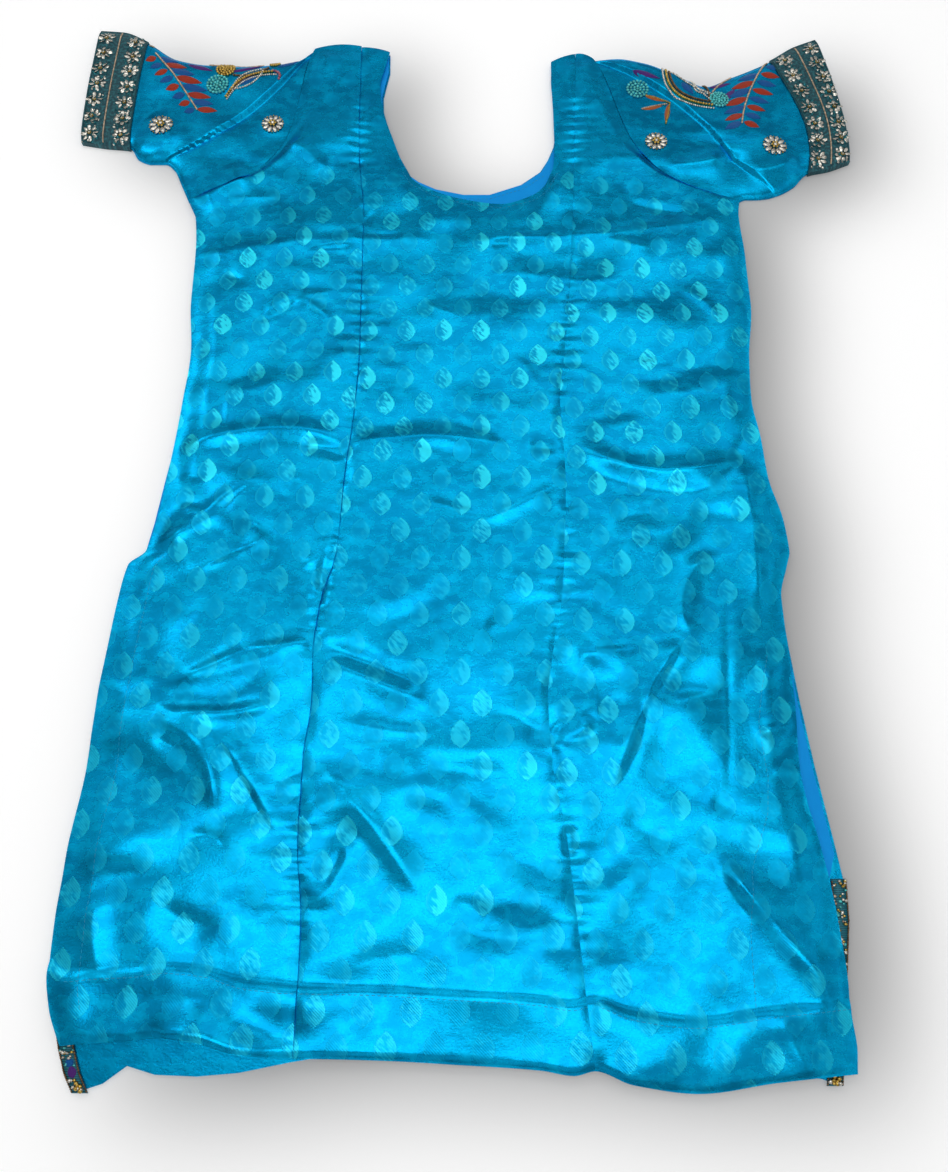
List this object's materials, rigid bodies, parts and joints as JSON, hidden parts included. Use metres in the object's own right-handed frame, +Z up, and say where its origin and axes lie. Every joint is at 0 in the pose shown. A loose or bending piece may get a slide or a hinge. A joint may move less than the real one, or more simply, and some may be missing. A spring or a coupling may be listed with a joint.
{
  "type": "kurti",
  "caption": "Satin kurti with short embroidered sleeves, laid flat with its back up, side slits and a deep round neck",
  "frame": {"origin": "middle of the laid garment, on the surface that it lies on", "axes": "X to the right of the laid garment as seen from its hem, Y from hem to neck, Z up from the surface"},
  "size_m": [0.6794, 0.8871, 0.0149],
  "materials": {
    "satin": "turquoise satin with small woven leaf motifs",
    "lining": "plain azure lining cloth, matt",
    "sleeve_border": "dark teal ribbon covered with silver and gold sequins",
    "bead_border": "narrow cloth edge set with beads",
    "rosette": "silver-gold metal thread and small stones"
  },
  "bodies": {
    "root": {"back_centre": "satin", "back_side_left": "satin", "back_side_right": "satin", "front": "satin", "front_lining": "lining", "front_border_left": "bead_border", "front_border_right": "bead_border", "sleeve_left": "satin", "sleeve_right": "satin", "sleeve_border_left": "sleeve_border", "sleeve_border_right": "sleeve_border", "rosette_left_outer": "rosette", "rosette_left_inner": "rosette", "rosette_right_inner": "rosette", "rosette_right_outer": "rosette"}
  },
  "joints": []
}
